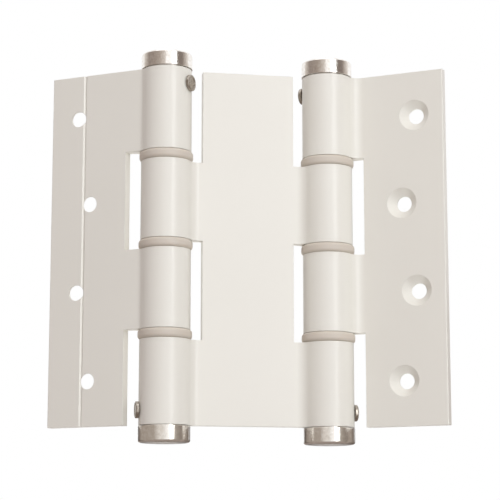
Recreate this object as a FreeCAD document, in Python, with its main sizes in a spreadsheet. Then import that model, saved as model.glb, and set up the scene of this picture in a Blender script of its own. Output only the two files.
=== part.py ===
import FreeCAD, Part
import math
import os
import Sketcher

# Double action sprung hinge: two outer leaves and a centre leaf joined by two sprung barrels.
# In each barrel an inner tube runs through the knuckles, with a washer between each two of them. A
# torsion spring lies in the tube. Its ends are held by the slotted stems of two end caps, and each
# cap is locked to its knuckle by a pin.
# The barrels stand upright. Z is up, the origin is on the floor midway between the barrels, and the
# outer leaves lie parallel to the XZ plane. The centre leaf is turned about Z, as photographed.
# The hinge is the same after half a turn about Z, so both outer leaves are one shape placed twice.
# Sizes are in millimetres and degrees.

doc = FreeCAD.newDocument("double_action_hinge")
sizes = doc.addObject("Spreadsheet::Sheet", "sizes")

DRIVING_SIZES = [
    # leaves
    ("leaf_height", 150.0, "height of all three leaves"),
    ("leaf_reach", 51.0, "barrel axis to the free edge of an outer leaf"),
    ("leaf_thick", 4.0, "plate of an outer leaf"),
    ("centre_thick", 4.0, "plate of the centre leaf"),
    ("closed_gap", 1.6, "between the plates when the hinge is folded shut"),
    ("axis_spacing", 69.5, "between the two barrel axes"),
    ("rest_turn", 35.0, "centre leaf's angle to the outer leaves, as photographed"),
    ("root_radius", 4.5, "hollow root where a plate runs into its barrel"),
    ("mount_root_radius", 3.0, "hollow root on the mounting face"),
    ("edge_radius", 0.5, "rounded free edge of an outer leaf"),
    ("groove_width", 1.5, "line groove on the mounting face, across"),
    ("groove_depth", 0.7, "line groove on the mounting face, into the plate"),
    # knuckles
    ("barrel_dia", 21.2, "outside of the knuckles"),
    ("barrel_wall", 2.3, "wall of the knuckles"),
    ("inner_knuckle", 33.4, "length of the second and third knuckles"),
    ("notch_gap", 4.0, "washer rim to the edge of the leaf beside it"),
    # screw holes
    ("hole_line", 35.2, "barrel axis to the middle of the zigzag of screw holes"),
    ("hole_stagger", 3.0, "each hole's distance from that middle line"),
    ("hole_pitch", 37.5, "from one screw hole to the next, along the leaf"),
    ("screw_hole_dia", 6.6, "screw hole"),
    ("countersink_dia", 13.0, "mouth of the 90 degree countersink"),
    # washers and inner tubes
    ("washer_thick", 4.2, "washer between two knuckles, along the barrel"),
    ("washer_over", 0.7, "how far a washer stands out of the barrel"),
    ("tube_wall", 1.2, "wall of the inner tubes"),
    ("tube_gap", 0.3, "end of an inner tube to a cap's stem"),
    ("run_clear", 0.08, "radial clearance of the inner tubes and cap stems"),
    # end caps
    ("cap_over", 0.2, "how far a cap stands out of the barrel"),
    ("cap_height", 7.0, "visible part of a cap"),
    ("cap_bevel", 0.6, "bevel on a cap's outer rim"),
    ("stem_len", 14.0, "stem of a cap inside the end knuckle"),
    # lock pins
    ("pin_drop", 6.3, "end of the leaf to the pin's axis"),
    ("pin_dia", 3.0, "shank of a lock pin"),
    ("pin_clear", 0.06, "radial clearance of the shank"),
    ("pin_depth", 8.0, "length of the shank under its head"),
    ("pin_head_dia", 7.0, "head of a lock pin"),
    ("pin_head_height", 1.5, "head of a lock pin, along its axis"),
    # springs
    ("wire_dia", 2.0, "wire of the torsion springs"),
    ("coil_room", 1.0, "clearance between a coil and its inner tube"),
    ("coil_turns", 12.0, "turns of a spring before its ends are lined up"),
    ("leg_len", 5.0, "straight end of the wire in a stem's slot"),
    ("leg_clear", 0.3, "clearance between the wire and a cap's stem"),
]

for row, (alias, number, note) in enumerate(DRIVING_SIZES, start=1):
    sizes.set(f"A{row}", note)
    sizes.set(f"B{row}", str(number))
    sizes.setAlias(f"B{row}", alias)
doc.recompute()

# Sizes that follow from the driving ones, as expressions on the sheet's cells.
BARREL_R = "sizes.barrel_dia / 2"
BORE_R = "(sizes.barrel_dia / 2 - sizes.barrel_wall)"
INNER_FACE = "(sizes.centre_thick / 2 + sizes.closed_gap)"
MOUNT_FACE = "(sizes.centre_thick / 2 + sizes.closed_gap + sizes.leaf_thick)"
NOTCH_X = "(sizes.barrel_dia / 2 + sizes.washer_over + sizes.notch_gap)"
END_KNUCKLE = "((sizes.leaf_height - 2 * sizes.inner_knuckle - 3 * sizes.washer_thick) / 2)"
FOURTH_TOP = END_KNUCKLE
THIRD_LOW = f"({FOURTH_TOP} + sizes.washer_thick)"
THIRD_TOP = f"({THIRD_LOW} + sizes.inner_knuckle)"
SECOND_LOW = f"({THIRD_TOP} + sizes.washer_thick)"
SECOND_TOP = f"({SECOND_LOW} + sizes.inner_knuckle)"
FIRST_LOW = f"({SECOND_TOP} + sizes.washer_thick)"
PIN_TOP = "(sizes.leaf_height - sizes.pin_drop)"
PIN_LOW = "sizes.pin_drop"
PIN_HOLE_R = "(sizes.pin_dia / 2 + sizes.pin_clear)"
INSIDE_R = f"({BORE_R} - sizes.run_clear)"
TUBE_HOLE_R = f"({INSIDE_R} - sizes.tube_wall)"
COIL_R = f"({TUBE_HOLE_R} - sizes.coil_room - sizes.wire_dia / 2)"
HALF_HOLES = "(1.5 * sizes.hole_pitch)"
BEYOND = "(sizes.barrel_dia)"

START, END, CENTRE = range(1, 4)
ORIGIN = (-1, 1)
X_AXIS, Y_AXIS = range(-1, -3, -1)


def value(expression):
    """The number that an expression on the sheet gives now."""
    return float(sizes.evalExpression(expression.replace("sizes.", "")))


def point(x, y):
    return FreeCAD.Vector(x, y, 0)


def arc(centre, radius, first, last):
    """A circular arc that runs anticlockwise from one point to the other."""
    circle = Part.Circle(centre, FreeCAD.Vector(0, 0, 1), radius)
    low = math.atan2(first.y - centre.y, first.x - centre.x)
    high = math.atan2(last.y - centre.y, last.x - centre.x)
    if high <= low:
        high += 2 * math.pi
    return Part.ArcOfCircle(circle, low, high)


def new_body(label):
    body = doc.addObject("PartDesign::Body", label)
    body.Label = label
    return body


def new_sketch(body, name, plane, offset=None):
    """A sketch on one of the body's own planes, moved along the plane's normal by an expression."""
    sketch = body.newObject("Sketcher::SketchObject", name)
    support = [feature for feature in body.Origin.OriginFeatures if feature.Role == plane][0]
    sketch.AttachmentSupport = [(support, "")]
    sketch.MapMode = "FlatFace"
    if offset is not None:
        sketch.setExpression("AttachmentOffset.Base.z", offset)
    return sketch


def fix(sketch, kind, *where, name, size):
    """Adds a dimension to a sketch and binds it to the sheet."""
    index = sketch.addConstraint(Sketcher.Constraint(kind, *where, value(size)))
    sketch.renameConstraint(index, name)
    sketch.setExpression(f"Constraints.{name}", size)


def join(sketch, kind, *where):
    sketch.addConstraint(Sketcher.Constraint(kind, *where))


def add_box(sketch, name, left, right, low, high):
    """A rectangle whose four sides are placed by expressions that are positive numbers."""
    x0, x1, y0, y1 = value(left), value(right), value(low), value(high)
    corners = [point(x0, y0), point(x1, y0), point(x1, y1), point(x0, y1)]
    lines = [sketch.addGeometry(Part.LineSegment(corners[i], corners[(i + 1) % 4])) for i in range(4)]
    for i in range(4):
        join(sketch, "Coincident", lines[i], END, lines[(i + 1) % 4], START)
    join(sketch, "Horizontal", lines[0])
    join(sketch, "Vertical", lines[1])
    join(sketch, "Horizontal", lines[2])
    join(sketch, "Vertical", lines[3])
    fix(sketch, "DistanceX", *ORIGIN, lines[0], START, name=f"{name}_left", size=left)
    fix(sketch, "DistanceX", *ORIGIN, lines[0], END, name=f"{name}_right", size=right)
    fix(sketch, "DistanceY", *ORIGIN, lines[0], START, name=f"{name}_low", size=low)
    fix(sketch, "DistanceY", *ORIGIN, lines[2], START, name=f"{name}_high", size=high)


def add_circle(sketch, name, across, up, radius):
    """A circle placed by two expressions, either of which may be the text 0."""
    centre = point(value(across), value(up))
    circle = sketch.addGeometry(Part.Circle(centre, FreeCAD.Vector(0, 0, 1), value(radius)))
    if across == "0":
        join(sketch, "PointOnObject", circle, CENTRE, Y_AXIS)
    else:
        fix(sketch, "DistanceX", *ORIGIN, circle, CENTRE, name=f"{name}_across", size=across)
    if up == "0":
        join(sketch, "PointOnObject", circle, CENTRE, X_AXIS)
    else:
        fix(sketch, "DistanceY", *ORIGIN, circle, CENTRE, name=f"{name}_up", size=up)
    fix(sketch, "Radius", circle, name=f"{name}_radius", size=radius)
    return circle


def pad(body, sketch, name, length):
    feature = body.newObject("PartDesign::Pad", name)
    feature.Profile = sketch
    feature.setExpression("Length", length)
    sketch.Visibility = False
    doc.recompute()
    return feature


def cut(body, sketch, name, length, both_ways=False, reverse=False):
    """A pocket that has to take material away, or the script stops."""
    before = body.Shape.Volume
    feature = body.newObject("PartDesign::Pocket", name)
    feature.Profile = sketch
    feature.setExpression("Length", length)
    feature.Midplane = both_ways
    feature.Reversed = reverse
    doc.recompute()
    if body.Shape.Volume >= before:
        raise RuntimeError(f"{name} cuts nothing")
    return feature


def leaf_root(radius, face):
    """Centre height of a hollow root's arc along the plate, and where it leaves the barrel."""
    barrel = value(BARREL_R)
    along = math.sqrt((barrel + radius) ** 2 - face ** 2)
    return along, barrel / (barrel + radius)


def outer_profile(body):
    """Section of an outer leaf: knuckle tube, plate beside the axis, hollow roots and line groove."""
    sketch = new_sketch(body, "outer_section", "XY_Plane")
    inner = value(INNER_FACE)
    mount = value(MOUNT_FACE)
    barrel = value(BARREL_R)
    reach = value("sizes.leaf_reach")
    edge = value("sizes.edge_radius")
    inner_root = value("sizes.root_radius")
    mount_root = value("sizes.mount_root_radius")
    line_x = value("sizes.hole_line")
    half_groove = value("sizes.groove_width") / 2
    depth = value("sizes.groove_depth")

    mount_x, mount_share = leaf_root(mount_root, mount + mount_root)
    inner_x, inner_share = leaf_root(inner_root, inner - inner_root)
    mount_centre = point(mount_x, mount + mount_root)
    inner_centre = point(inner_x, inner - inner_root)
    off_barrel_mount = mount_centre * mount_share
    off_barrel_inner = inner_centre * inner_share
    zero = point(0, 0)

    tube = sketch.addGeometry(arc(zero, barrel, off_barrel_mount, off_barrel_inner))
    root_m = sketch.addGeometry(arc(mount_centre, mount_root, off_barrel_mount, point(mount_x, mount)))
    face_m = sketch.addGeometry(Part.LineSegment(point(mount_x, mount), point(line_x - half_groove, mount)))
    vee_in = sketch.addGeometry(
        Part.LineSegment(point(line_x - half_groove, mount), point(line_x, mount - depth)))
    vee_out = sketch.addGeometry(
        Part.LineSegment(point(line_x, mount - depth), point(line_x + half_groove, mount)))
    face_n = sketch.addGeometry(
        Part.LineSegment(point(line_x + half_groove, mount), point(reach - edge, mount)))
    round_m = sketch.addGeometry(
        arc(point(reach - edge, mount - edge), edge, point(reach, mount - edge), point(reach - edge, mount)))
    tip = sketch.addGeometry(Part.LineSegment(point(reach, mount - edge), point(reach, inner + edge)))
    round_i = sketch.addGeometry(
        arc(point(reach - edge, inner + edge), edge, point(reach - edge, inner), point(reach, inner + edge)))
    face_i = sketch.addGeometry(Part.LineSegment(point(reach - edge, inner), point(inner_x, inner)))
    root_i = sketch.addGeometry(arc(inner_centre, inner_root, point(inner_x, inner), off_barrel_inner))

    join(sketch, "Coincident", tube, CENTRE, *ORIGIN)
    join(sketch, "Tangent", tube, START, root_m, START)
    join(sketch, "Tangent", root_m, END, face_m, START)
    join(sketch, "Horizontal", face_m)
    join(sketch, "Coincident", face_m, END, vee_in, START)
    join(sketch, "Coincident", vee_in, END, vee_out, START)
    join(sketch, "Coincident", vee_out, END, face_n, START)
    join(sketch, "Horizontal", face_n)
    join(sketch, "Tangent", face_n, END, round_m, END)
    join(sketch, "Tangent", round_m, START, tip, START)
    join(sketch, "Vertical", tip)
    join(sketch, "Tangent", tip, END, round_i, END)
    join(sketch, "Tangent", round_i, START, face_i, START)
    join(sketch, "Horizontal", face_i)
    join(sketch, "Tangent", face_i, END, root_i, START)
    join(sketch, "Tangent", root_i, END, tube, END)

    half_width = "sizes.groove_width / 2"
    fix(sketch, "Radius", tube, name="barrel", size=BARREL_R)
    fix(sketch, "Radius", root_m, name="mount_root", size="sizes.mount_root_radius")
    fix(sketch, "Radius", root_i, name="inner_root", size="sizes.root_radius")
    fix(sketch, "Radius", round_m, name="mount_edge", size="sizes.edge_radius")
    fix(sketch, "Radius", round_i, name="inner_edge", size="sizes.edge_radius")
    fix(sketch, "DistanceY", *ORIGIN, face_m, START, name="mount_face", size=MOUNT_FACE)
    fix(sketch, "DistanceY", *ORIGIN, face_n, END, name="mount_face_far", size=MOUNT_FACE)
    fix(sketch, "DistanceY", *ORIGIN, face_i, END, name="inner_face", size=INNER_FACE)
    fix(sketch, "DistanceX", *ORIGIN, tip, START, name="reach", size="sizes.leaf_reach")
    fix(sketch, "DistanceX", *ORIGIN, vee_in, END, name="groove_line", size="sizes.hole_line")
    fix(sketch, "DistanceX", vee_in, START, vee_in, END, name="groove_near", size=half_width)
    fix(sketch, "DistanceX", vee_out, START, vee_out, END, name="groove_far", size=half_width)
    fix(sketch, "DistanceY", vee_in, END, vee_in, START, name="groove_deep", size="sizes.groove_depth")
    add_circle(sketch, "bore", "0", "0", BORE_R)
    return sketch


def outer_leaf(label):
    """Outer leaf, with its barrel axis on Z and its plate along X. The first and third knuckles are
    its own. It is an extruded length that is notched and drilled."""
    body = new_body(label)
    pad(body, outer_profile(body), "extrusion", "sizes.leaf_height")

    notches = new_sketch(body, "notches", "XZ_Plane")
    add_box(notches, "second", f"-{BEYOND}", NOTCH_X, THIRD_TOP, FIRST_LOW)
    add_box(notches, "fourth", f"-{BEYOND}", NOTCH_X, f"-{BEYOND}", THIRD_LOW)
    cut(body, notches, "knuckle_notches", f"2 * {BEYOND}", both_ways=True)

    places = new_sketch(body, "hole_places", "XZ_Plane", offset=f"-{INNER_FACE}")
    middle = "sizes.leaf_height / 2"
    near = "sizes.hole_line - sizes.hole_stagger"
    far = "sizes.hole_line + sizes.hole_stagger"
    for count, across in enumerate((near, far, near, far)):
        up = f"{middle} - {HALF_HOLES} + {count} * sizes.hole_pitch"
        add_circle(places, f"hole_{count}", across, up, "sizes.screw_hole_dia / 2")
    doc.recompute()
    before = body.Shape.Volume
    holes = body.newObject("PartDesign::Hole", "screw_holes")
    holes.Profile = places
    holes.setExpression("Diameter", "sizes.screw_hole_dia")
    holes.DepthType = "ThroughAll"
    holes.HoleCutType = "Countersink"
    holes.HoleCutCustomValues = True
    holes.setExpression("HoleCutDiameter", "sizes.countersink_dia")
    holes.HoleCutCountersinkAngle = 90
    doc.recompute()
    if body.Shape.Volume >= before:
        raise RuntimeError("the screw holes cut nothing")

    pin_hole = new_sketch(body, "pin_place", "YZ_Plane")
    add_circle(pin_hole, "pin", "0", PIN_TOP, PIN_HOLE_R)
    cut(body, pin_hole, "pin_hole", BEYOND)
    return body


def centre_profile(body):
    """Section of the centre leaf: two knuckle tubes with one plate through both axes."""
    sketch = new_sketch(body, "centre_section", "XY_Plane")
    barrel = value(BARREL_R)
    spacing = value("sizes.axis_spacing")
    half = value("sizes.centre_thick") / 2
    radius = value("sizes.root_radius")
    along, share = leaf_root(radius, half + radius)
    first_axis = point(0, 0)
    second_axis = point(spacing, 0)
    up_root = point(along, half + radius)
    low_root = point(along, -half - radius)
    far_low_root = second_axis + point(-along, -half - radius)
    far_up_root = second_axis + point(-along, half + radius)
    off_up = up_root * share
    off_low = low_root * share
    off_far_low = second_axis + (far_low_root - second_axis) * share
    off_far_up = second_axis + (far_up_root - second_axis) * share

    tube_a = sketch.addGeometry(arc(first_axis, barrel, off_up, off_low))
    root_1 = sketch.addGeometry(arc(low_root, radius, point(along, -half), off_low))
    plate_low = sketch.addGeometry(Part.LineSegment(point(along, -half), point(spacing - along, -half)))
    root_2 = sketch.addGeometry(arc(far_low_root, radius, off_far_low, point(spacing - along, -half)))
    tube_b = sketch.addGeometry(arc(second_axis, barrel, off_far_low, off_far_up))
    root_3 = sketch.addGeometry(arc(far_up_root, radius, point(spacing - along, half), off_far_up))
    plate_up = sketch.addGeometry(Part.LineSegment(point(spacing - along, half), point(along, half)))
    root_4 = sketch.addGeometry(arc(up_root, radius, off_up, point(along, half)))

    join(sketch, "Coincident", tube_a, CENTRE, *ORIGIN)
    join(sketch, "Tangent", tube_a, END, root_1, END)
    join(sketch, "Tangent", root_1, START, plate_low, START)
    join(sketch, "Horizontal", plate_low)
    join(sketch, "Tangent", plate_low, END, root_2, END)
    join(sketch, "Tangent", root_2, START, tube_b, START)
    join(sketch, "Tangent", tube_b, END, root_3, END)
    join(sketch, "Tangent", root_3, START, plate_up, START)
    join(sketch, "Horizontal", plate_up)
    join(sketch, "Tangent", plate_up, END, root_4, END)
    join(sketch, "Tangent", root_4, START, tube_a, START)
    fix(sketch, "Radius", tube_a, name="first_barrel", size=BARREL_R)
    fix(sketch, "Radius", tube_b, name="second_barrel", size=BARREL_R)
    for count, root in enumerate((root_1, root_2, root_3, root_4)):
        fix(sketch, "Radius", root, name=f"root_{count}", size="sizes.root_radius")
    half_thick = "sizes.centre_thick / 2"
    fix(sketch, "DistanceY", plate_low, START, *ORIGIN, name="low_face", size=half_thick)
    fix(sketch, "DistanceY", *ORIGIN, plate_up, START, name="up_face", size=half_thick)
    add_circle(sketch, "first_bore", "0", "0", BORE_R)
    second_bore = add_circle(sketch, "second_bore", "sizes.axis_spacing", "0", BORE_R)
    join(sketch, "Coincident", tube_b, CENTRE, second_bore, CENTRE)
    return sketch


def make_centre_leaf(label):
    """Centre leaf, with its first barrel axis on Z and its plate along X. The second and fourth
    knuckles of both barrels are its own."""
    body = new_body(label)
    pad(body, centre_profile(body), "extrusion", "sizes.leaf_height")

    notches = new_sketch(body, "notches", "XZ_Plane")
    far_edge = f"sizes.axis_spacing - {NOTCH_X}"
    far_side = f"sizes.axis_spacing + {BEYOND}"
    above = f"sizes.leaf_height + {BEYOND}"
    for name, low, high in (("first", SECOND_TOP, above), ("third", FOURTH_TOP, SECOND_LOW)):
        add_box(notches, f"{name}_near", f"-{BEYOND}", NOTCH_X, low, high)
        add_box(notches, f"{name}_far", far_edge, far_side, low, high)
    cut(body, notches, "knuckle_notches", f"2 * {BEYOND}", both_ways=True)

    near_pin = new_sketch(body, "near_pin_place", "YZ_Plane")
    add_circle(near_pin, "pin", "0", PIN_LOW, PIN_HOLE_R)
    cut(body, near_pin, "near_pin_hole", BEYOND)
    far_pin = new_sketch(body, "far_pin_place", "YZ_Plane", offset="sizes.axis_spacing")
    add_circle(far_pin, "pin", "0", PIN_LOW, PIN_HOLE_R)
    cut(body, far_pin, "far_pin_hole", BEYOND, reverse=True)
    return body


def turned(label, outline):
    """A turned body on the Z axis. The outline is a closed list of corners, each an across and an up
    expression."""
    body = new_body(label)
    sketch = new_sketch(body, "half_section", "XZ_Plane")
    corners = [point(value(across), value(up)) for across, up in outline]
    count = len(corners)
    lines = []
    for i in range(count):
        line = Part.LineSegment(corners[i], corners[(i + 1) % count])
        lines.append(sketch.addGeometry(line))
    for i in range(count):
        join(sketch, "Coincident", lines[i], END, lines[(i + 1) % count], START)
    for i, (across, up) in enumerate(outline):
        place_corner(sketch, lines[i], i, across, up)
    turn = body.newObject("PartDesign::Revolution", "turning")
    turn.Profile = sketch
    turn.ReferenceAxis = (sketch, ["V_Axis"])
    turn.Angle = 360
    doc.recompute()
    return body


def place_corner(sketch, line, number, across, up):
    """Places a line's first end. A negative place is measured from the point back to the origin."""
    for kind, size, axis in (("DistanceX", across, Y_AXIS), ("DistanceY", up, X_AXIS)):
        name = f"corner_{number}_{kind[-1].lower()}"
        if size == "0":
            join(sketch, "PointOnObject", line, START, axis)
        elif value(size) < 0:
            fix(sketch, kind, line, START, *ORIGIN, name=name, size=f"-({size})")
        else:
            fix(sketch, kind, *ORIGIN, line, START, name=name, size=size)


def make_washer(label):
    """Washer that turns on the inner tube between two knuckles, standing on the XY plane."""
    rim = f"{BARREL_R} + sizes.washer_over"
    outline = [(BORE_R, "0"), (rim, "0"), (rim, "sizes.washer_thick"), (BORE_R, "sizes.washer_thick")]
    return turned(label, outline)


def make_tube(label):
    """Inner tube that the knuckles and washers turn on, between the stems of the two caps."""
    length = "sizes.leaf_height - 2 * sizes.stem_len - 2 * sizes.tube_gap"
    outline = [(TUBE_HOLE_R, "0"), (INSIDE_R, "0"), (INSIDE_R, length), (TUBE_HOLE_R, length)]
    return turned(label, outline)


def make_cap(label):
    """End cap: the bevelled head seen on the barrel, with its stem down on -Z. A hole on the +X side
    takes the lock pin, and a slot across the stem's end takes the spring's wire."""
    rim = f"{BARREL_R} + sizes.cap_over"
    outline = [
        ("0", "-sizes.stem_len"),
        (INSIDE_R, "-sizes.stem_len"),
        (INSIDE_R, "0"),
        (rim, "0"),
        (rim, "sizes.cap_height - sizes.cap_bevel"),
        (f"{rim} - sizes.cap_bevel", "sizes.cap_height"),
        ("0", "sizes.cap_height"),
    ]
    body = turned(label, outline)
    hole = new_sketch(body, "pin_place", "YZ_Plane")
    centre = point(0, -value("sizes.pin_drop"))
    circle = hole.addGeometry(Part.Circle(centre, FreeCAD.Vector(0, 0, 1), value(PIN_HOLE_R)))
    join(hole, "PointOnObject", circle, CENTRE, Y_AXIS)
    fix(hole, "DistanceY", circle, CENTRE, *ORIGIN, name="drop", size="sizes.pin_drop")
    fix(hole, "Radius", circle, name="radius", size=PIN_HOLE_R)
    cut(body, hole, "pin_hole", BEYOND, reverse=True)

    slot = new_sketch(body, "slot_place", "XY_Plane", offset="-sizes.stem_len")
    half = "sizes.wire_dia / 2 + sizes.leg_clear"
    add_box(slot, "slot", f"-({half})", half, f"-{BEYOND}", BEYOND)
    cut(body, slot, "wire_slot", "sizes.leg_len + sizes.leg_clear", reverse=True)
    return body


def make_pin(label):
    """Lock pin on the Z axis: flat round head above the XY plane, plain shank below."""
    shank = "sizes.pin_dia / 2"
    head = "sizes.pin_head_dia / 2"
    outline = [
        ("0", "-sizes.pin_depth"),
        (shank, "-sizes.pin_depth"),
        (shank, "0"),
        (head, "0"),
        (head, "sizes.pin_head_height"),
        ("0", "sizes.pin_head_height"),
    ]
    return turned(label, outline)


STEPS_PER_TURN = 10
SECTION_SIDES = 4


def spring_shape():
    """Torsion spring on the Z axis, from its lower leg to its upper one.

    The wire is a square bar of the round wire's own section, bent in short straight runs. The coil
    starts on +X. It ends short of whole turns by the angle between the two leaves, in line with the
    upper cap's slot."""
    coil_r = value(COIL_R)
    wire_r = value("sizes.wire_dia / 2")
    clear = value("sizes.leg_clear")
    leg = value("sizes.leg_len") + wire_r + clear
    length = value("sizes.leaf_height - 2 * sizes.stem_len") - 2 * (wire_r + 2 * clear)
    turns = value("sizes.coil_turns - sizes.rest_turn / 360")
    steps = round(turns * STEPS_PER_TURN)
    route = [FreeCAD.Vector(coil_r, 0, -leg)]
    for step in range(steps + 1):
        angle = 2 * math.pi * turns * step / steps
        route.append(FreeCAD.Vector(coil_r * math.cos(angle), coil_r * math.sin(angle),
                                    length * step / steps))
    route.append(route[-1] + FreeCAD.Vector(0, 0, leg))
    corner_share = math.pi / (SECTION_SIDES / 2 * math.sin(2 * math.pi / SECTION_SIDES))
    corner_r = wire_r * math.sqrt(corner_share)
    section = []
    for side in range(SECTION_SIDES + 1):
        angle = 2 * math.pi * side / SECTION_SIDES
        section.append(route[0] + FreeCAD.Vector(corner_r * math.cos(angle), corner_r * math.sin(angle), 0))
    mitred = 1
    return Part.makePolygon(route).makePipeShell([Part.makePolygon(section)], True, False, mitred)


def make_spring(label):
    feature = doc.addObject("Part::Feature", label)
    feature.Label = label
    feature.Shape = spring_shape()
    return feature


def place(part, across, depth, height, turn="0", tilt=0.0):
    """Puts a sub-part where the expressions say: first tilted about its own Y axis, then turned
    about Z."""
    spin = FreeCAD.Rotation(FreeCAD.Vector(0, 0, 1), value(turn))
    lean = FreeCAD.Rotation(FreeCAD.Vector(0, 1, 0), tilt)
    part.Placement = FreeCAD.Placement(FreeCAD.Vector(0, 0, 0), spin * lean)
    part.setExpression("Placement.Base.x", across)
    part.setExpression("Placement.Base.y", depth)
    part.setExpression("Placement.Base.z", height)


HALF_ACROSS = "sizes.axis_spacing / 2 * cos(sizes.rest_turn * 1 deg)"
HALF_DEPTH = "sizes.axis_spacing / 2 * sin(sizes.rest_turn * 1 deg)"
LEAF_FOOT = "sizes.cap_height"
LEAF_HEAD = f"{LEAF_FOOT} + sizes.leaf_height"

# The frame side's barrel is on the left. Its sign is -1, and its outer leaf is turned by half a turn.
SIDES = {"frame": (-1, "180"), "door": (1, "0")}

parts = []
centre_leaf = make_centre_leaf("centre_leaf")
place(centre_leaf, f"-({HALF_ACROSS})", f"-({HALF_DEPTH})", LEAF_FOOT, "sizes.rest_turn")
parts.append(centre_leaf)

for side, (sign, leaf_turn) in SIDES.items():
    across = f"{sign} * {HALF_ACROSS}"
    depth = f"{sign} * {HALF_DEPTH}"
    centre_turn = f"{leaf_turn} + 180 + sizes.rest_turn"

    leaf = outer_leaf(f"{side}_leaf")
    place(leaf, across, depth, LEAF_FOOT, leaf_turn)
    parts.append(leaf)

    for level, foot in (("top", SECOND_TOP), ("middle", THIRD_TOP), ("bottom", FOURTH_TOP)):
        washer = make_washer(f"{side}_washer_{level}")
        place(washer, across, depth, f"{LEAF_FOOT} + {foot}")
        parts.append(washer)

    tube = make_tube(f"{side}_tube")
    place(tube, across, depth, f"{LEAF_FOOT} + sizes.stem_len + sizes.tube_gap")
    parts.append(tube)

    top_cap = make_cap(f"{side}_cap_top")
    place(top_cap, across, depth, LEAF_HEAD, f"{leaf_turn} + 180")
    bottom_cap = make_cap(f"{side}_cap_bottom")
    place(bottom_cap, across, depth, LEAF_FOOT, centre_turn, tilt=180.0)
    parts += [top_cap, bottom_cap]

    for level, height, turn in (("top", f"{LEAF_FOOT} + {PIN_TOP}", leaf_turn),
                                ("bottom", f"{LEAF_FOOT} + {PIN_LOW}", centre_turn)):
        pin = make_pin(f"{side}_pin_{level}")
        out_across = f"{across} - {BARREL_R} * cos(({turn}) * 1 deg)"
        out_depth = f"{depth} - {BARREL_R} * sin(({turn}) * 1 deg)"
        place(pin, out_across, out_depth, height, turn, tilt=-90.0)
        parts.append(pin)

    spring = make_spring(f"{side}_spring")
    spring_foot = f"{LEAF_FOOT} + sizes.stem_len + sizes.wire_dia / 2 + 2 * sizes.leg_clear"
    place(spring, across, depth, spring_foot, f"{centre_turn} + 90")
    parts.append(spring)

doc.recompute()
for item in doc.Objects:
    if "Invalid" in item.State or "Error" in item.State:
        raise RuntimeError(f"{item.Label} failed: {item.State}")
for part in parts:
    if part.Shape.isNull() or not part.Shape.isValid():
        raise RuntimeError(f"{part.Label} has no valid shape")
    if len(part.Shape.Solids) != 1:
        raise RuntimeError(f"{part.Label} is not one solid")

os.makedirs("parts", exist_ok=True)
for part in parts:
    part.Shape.exportStep(f"parts/{part.Label}.step")
    box = part.Shape.BoundBox
    print(f"{part.Label}: {part.Shape.Volume:.1f} mm3, x {box.XMin:.2f} to {box.XMax:.2f}, "
          f"y {box.YMin:.2f} to {box.YMax:.2f}, z {box.ZMin:.2f} to {box.ZMax:.2f}")
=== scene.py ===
# %% [markdown]
# # Double action cafe hinge
#
# This hinge lets a light door swing both ways and brings it back to the middle. It has three white
# leaves, two barrels with a torsion spring inside each, nylon washers between the knuckles and a
# polished cap at each end. The CAD model already holds every part in metres, so this lesson keeps
# its big extruded leaves as they are and gives its time to the finishes and to the small round parts.

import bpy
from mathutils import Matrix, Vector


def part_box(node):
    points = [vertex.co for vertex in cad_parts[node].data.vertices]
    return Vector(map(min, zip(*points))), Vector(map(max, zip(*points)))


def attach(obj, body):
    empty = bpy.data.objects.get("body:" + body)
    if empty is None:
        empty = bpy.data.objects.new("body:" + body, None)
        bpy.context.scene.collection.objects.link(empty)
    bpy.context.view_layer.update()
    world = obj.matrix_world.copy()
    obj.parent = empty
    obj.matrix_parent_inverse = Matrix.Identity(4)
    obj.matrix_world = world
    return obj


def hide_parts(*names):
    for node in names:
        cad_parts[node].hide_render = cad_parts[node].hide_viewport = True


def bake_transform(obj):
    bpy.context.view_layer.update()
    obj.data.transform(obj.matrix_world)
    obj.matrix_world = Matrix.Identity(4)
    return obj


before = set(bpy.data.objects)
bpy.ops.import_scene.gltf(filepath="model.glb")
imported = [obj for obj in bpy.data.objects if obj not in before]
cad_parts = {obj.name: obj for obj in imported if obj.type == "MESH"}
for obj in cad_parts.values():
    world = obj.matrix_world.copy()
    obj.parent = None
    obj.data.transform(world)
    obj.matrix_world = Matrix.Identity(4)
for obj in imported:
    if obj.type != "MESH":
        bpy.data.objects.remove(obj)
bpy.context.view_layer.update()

# %% [markdown]
# ## Measures taken from the model
#
# Every piece below sits on one of the two barrel axes. A cap is a round part on its axis, so the
# middle of its box is a point of that axis. Reading it here means that no piece is placed by eye.

# %% Find the barrels
import math

import bmesh
import bpy
from mathutils import Vector

MM = 0.001
SIDES = ("frame", "door")
LEVELS = ("bottom", "middle", "top")


def node_box(name):
    low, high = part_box(name)
    return Vector(low), Vector(high)


def barrel_axis(side):
    """The point of a barrel's axis that lies on the floor."""
    low, high = node_box(f"{side}_cap_bottom")
    return Vector((*((low + high) / 2).xy, 0))


AXIS = {side: barrel_axis(side) for side in SIDES}
print("barrel axes in mm:", {side: tuple(round(c / MM, 2) for c in AXIS[side]) for side in SIDES})

# %% [markdown]
# ## Helpers for node trees
#
# Materials and Geometry Nodes are both trees of nodes. One small function adds any node, sets it
# up and wires its inputs, so the recipes below read as a list of steps. An input is picked by its
# name, or by its number where a node has several of one name, as the Mix node has for its colours.
# Colours are written as sRGB hex values, as a paint chart gives them, and Blender mixes light in
# linear values, so one function turns the first into the second.

# %% Helpers for nodes and colours

MIX_COLOUR_A = 6
MIX_COLOUR_B = 7
MIX_COLOUR_RESULT = 2


def linear(hex_colour):
    """An sRGB hex colour as the linear RGBA that Blender's sockets take, by the sRGB standard."""
    parts = [int(hex_colour[i:i + 2], 16) / 255 for i in (1, 3, 5)]
    return (*[c / 12.92 if c <= 0.04045 else ((c + 0.055) / 1.055) ** 2.4 for c in parts], 1.0)


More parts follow.
